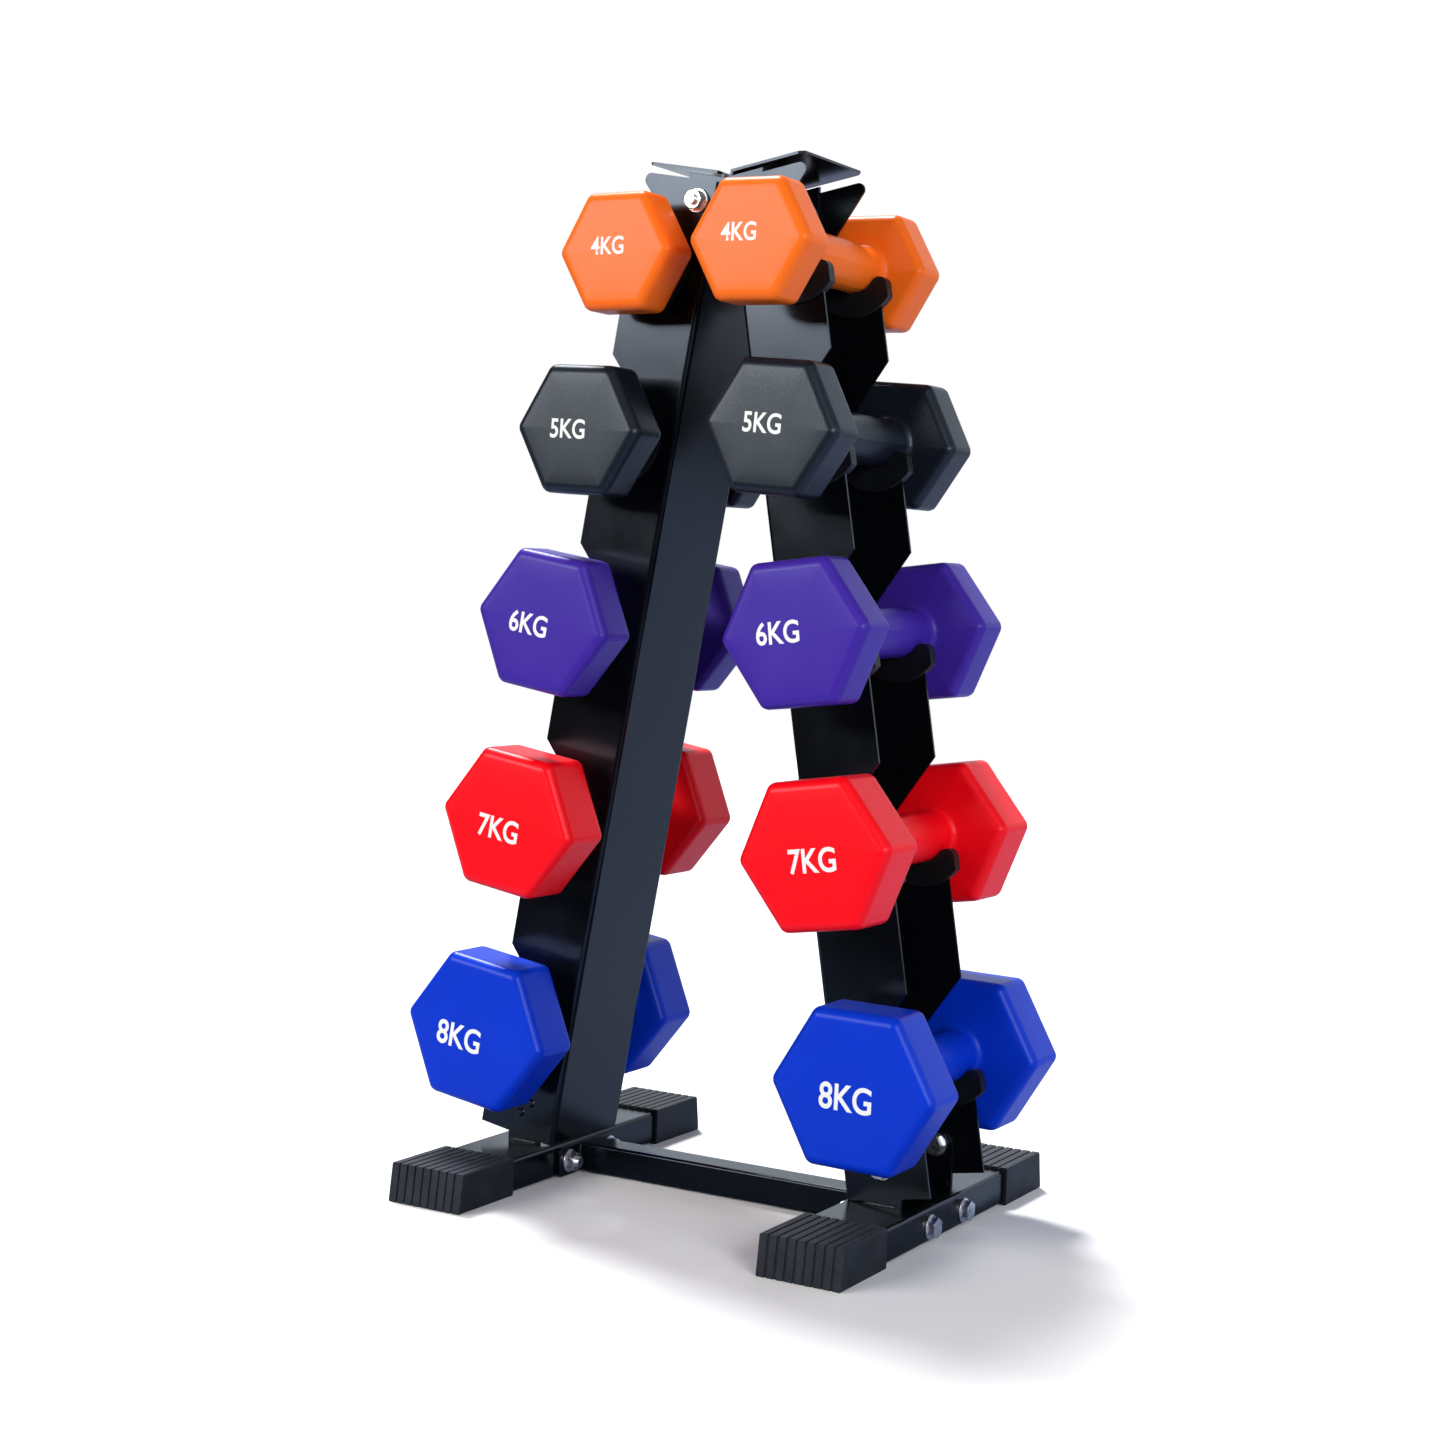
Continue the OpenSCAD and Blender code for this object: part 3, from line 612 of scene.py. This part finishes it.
def weight_mark(name, words, height, shift, flats, front_y, seat, material, body):
    """Plain figures and letters, thin as ink, that follow the crown of the front face."""
    curve = bpy.data.curves.new(name, "FONT")
    curve.body = words
    curve.size = height / PRINT_CAPITAL
    curve.align_x = "CENTER"
    curve.align_y = "CENTER"
    curve.offset = height * PRINT_BOLD
    curve.resolution_u = 6
    letters = bpy.data.objects.new(name + "_letters", curve)
    bpy.context.scene.collection.objects.link(letters)
    bpy.context.view_layer.update()
    mesh = bpy.data.meshes.new_from_object(letters)
    bpy.data.objects.remove(letters)
    bm = bmesh.new()
    bm.from_mesh(mesh)
    bmesh.ops.remove_doubles(bm, verts=bm.verts, dist=PRINT_SAME_PLACE)
    for vert in bm.verts:
        x = vert.co.x * PRINT_SQUEEZE + shift[0]
        z = vert.co.y + shift[1]
        vert.co = Vector((x, front_y - crown_at(x, z, flats) - PRINT_PROUD, z))
    bmesh.ops.transform(bm, matrix=seat, verts=bm.verts)
    for face in bm.faces:
        face.normal_update()
    new_piece(name, bm, material, body)


ink = screen_print()
for n, weight in enumerate(WEIGHTS):
    colour, light, dark, depth, painted_glint_share, ior = COATS[n]
    coat = dipped_vinyl(colour + " dipped vinyl", light, dark, depth * MM, painted_glint_share, ior)
    front_y = -HEAD_GAPS[n] / 2 - HEAD_LENGTHS[n]
    for side, turns, prints in (("left", LEFT_TURNS, LEFT_PRINTS),
                                ("right", RIGHT_TURNS, RIGHT_PRINTS)):
        body = f"{side}_dumbbell_{weight}kg"
        coat_node = f"{side}_coat_{n + 1}"
        core_node = f"{side}_core_{n + 1}"
        low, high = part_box(coat_node)
        turn = Matrix.Rotation(math.radians(turns[n]), 4, "Y")
        seat = Matrix.Translation((low + high) / 2) @ turn @ Matrix.Scale(MM, 4)
        bell = hex_bell(FLATS[n], HEAD_LENGTHS[n], HEAD_GAPS[n], HANDLE_RADII[n], seat)
        piece = new_piece(f"{side}_bell_{weight}kg", bell, coat, body)
        keep_flats_flat(piece)
        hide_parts(coat_node, core_node)
        weight_mark(f"{side}_mark_{weight}kg", f"{weight}KG", PRINT_HEIGHT[n], prints[n],
                    FLATS[n], front_y, seat, ink, body)


# ---- Studio ---------------------------------------------------------------
# White paper that ends in front of the rack, a wide bank of lamps 1 m up off the
# front left, softer ones to the right and behind, and one over the back left.
# Paper and surround are white to the camera, but give less light to the rack.

PAPER_WHITE = "#f4f4f4"
PAPER_FIBRE = "#f8f8f8"
PAPER_BOUNCE = "#8d99b2"    # what the rack gets from the paper instead of its white
PAPER_FRONT = -0.75         # where the paper ends towards the camera, metres
PAPER_SIDE = 3.0
PAPER_BACK = 4.0
WARM_WHITE = (1.0, 0.97, 0.93)
COOL_WHITE = (0.8, 0.89, 1.0)
OVER_STRENGTH = 4.6
OVER_SPREAD = math.radians(14)
OVER_AIM = Vector((0.45, -0.3, -1.0))
SURROUND_BOUNCE = 0.02      # strength of the surround to everything but the camera


def studio_paper():
    """Painted paper sweep: white, matt, with a barely visible fibre."""
    material, tree, place = new_material("studio paper")
    fibre = add_node(tree, "ShaderNodeTexNoise", {"Vector": place, "Scale": 6.0, "Detail": 6.0})
    colour = add_node(tree, "ShaderNodeMix",
                      {0: fibre.outputs["Fac"], 6: linear(PAPER_WHITE), 7: linear(PAPER_FIBRE)},
                      data_type="RGBA")
    ray = add_node(tree, "ShaderNodeLightPath")
    bounce = add_node(tree, "ShaderNodeMix",
                      {0: ray.outputs["Is Camera Ray"], 6: linear(PAPER_BOUNCE),
                       7: colour.outputs[2]},
                      data_type="RGBA")
    shader = add_node(tree, "ShaderNodeBsdfPrincipled",
                      {"Base Color": bounce.outputs[2], "Roughness": 0.95, "IOR": 1.2})
    finish_material(tree, shader)
    return material


floor_bm = bmesh.new()
bmesh.ops.create_grid(floor_bm, x_segments=4, y_segments=4, size=1.0)
for vert in floor_bm.verts:
    vert.co.x *= PAPER_SIDE
    vert.co.y = PAPER_FRONT + (PAPER_BACK - PAPER_FRONT) * (vert.co.y + 1) / 2
floor_mesh = bpy.data.meshes.new("floor")
floor_bm.to_mesh(floor_mesh)
floor_bm.free()
floor_mesh.materials.append(studio_paper())
floor = bpy.data.objects.new("floor", floor_mesh)
bpy.context.scene.collection.objects.link(floor)


def soft_box(name, place, size, radiance, target, colour):
    """An area light of an even brightness, aimed at a target and unseen itself."""
    light = bpy.data.lights.new(name, "AREA")
    light.shape = "RECTANGLE"
    light.size, light.size_y = size
    light.energy = radiance * math.pi * size[0] * size[1]
    light.color = colour
    lamp = bpy.data.objects.new(name, light)
    bpy.context.scene.collection.objects.link(lamp)
    lamp.location = place
    lamp.rotation_euler = (Vector(target) - Vector(place)).to_track_quat("-Z", "Y").to_euler()
    lamp.visible_camera = False


soft_box("bank_front_left", (-1.53, -2.58, 1.37), (2.4, 0.75), 15.0, (0, 0, 1.35), WARM_WHITE)
soft_box("box_front_right", (2.4, -2.0, 1.2), (1.2, 1.2), 12.5, (0, 0, 0.4), (1.0, 1.0, 1.0))
soft_box("wall_right", (4.0, 1.0, 2.2), (6.0, 3.6), 1.0, (0, 1.0, 1.8), COOL_WHITE)
soft_box("wall_back", (0.0, 5.0, 2.4), (8.0, 4.4), 1.0, (0, 0, 2.2), COOL_WHITE)

over = bpy.data.lights.new("lamp_over", "SUN")
over.energy = OVER_STRENGTH
over.angle = OVER_SPREAD
over_lamp = bpy.data.objects.new("lamp_over", over)
bpy.context.scene.collection.objects.link(over_lamp)
over_lamp.rotation_euler = OVER_AIM.to_track_quat("-Z", "Y").to_euler()

world = bpy.data.worlds.new("white surround")
world.use_nodes = True
world.node_tree.nodes.clear()
ray = add_node(world.node_tree, "ShaderNodeLightPath")
strength = add_node(world.node_tree, "ShaderNodeMapRange",
                    {"Value": ray.outputs["Is Camera Ray"], "To Min": SURROUND_BOUNCE,
                     "To Max": 1.0})
surround = add_node(world.node_tree, "ShaderNodeBackground",
                    {"Color": (1.0, 1.0, 1.0, 1.0), "Strength": strength.outputs[0]})
add_node(world.node_tree, "ShaderNodeOutputWorld", {"Surface": surround.outputs[0]})
bpy.context.scene.world = world
bpy.context.scene.view_settings.view_transform = "Standard"

CAMERA_PLACE = Vector((0.8766, -1.5179, 0.4651))
CAMERA_YAW = math.radians(30.404)
CAMERA_PITCH = math.radians(-3.394)
CAMERA_ROLL = math.radians(1.815)

camera_data = bpy.data.cameras.new("camera")
camera_data.sensor_width = 36.0
camera_data.lens = 57.9
camera_data.clip_end = 100.0
camera = bpy.data.objects.new("camera", camera_data)
bpy.context.scene.collection.objects.link(camera)
level = Matrix.Rotation(CAMERA_YAW, 4, "Z") @ Matrix.Rotation(math.radians(90), 4, "X")
camera.matrix_world = (Matrix.Translation(CAMERA_PLACE) @ level
                       @ Matrix.Rotation(CAMERA_PITCH, 4, "X") @ Matrix.Rotation(CAMERA_ROLL, 4, "Z"))
bpy.context.scene.camera = camera
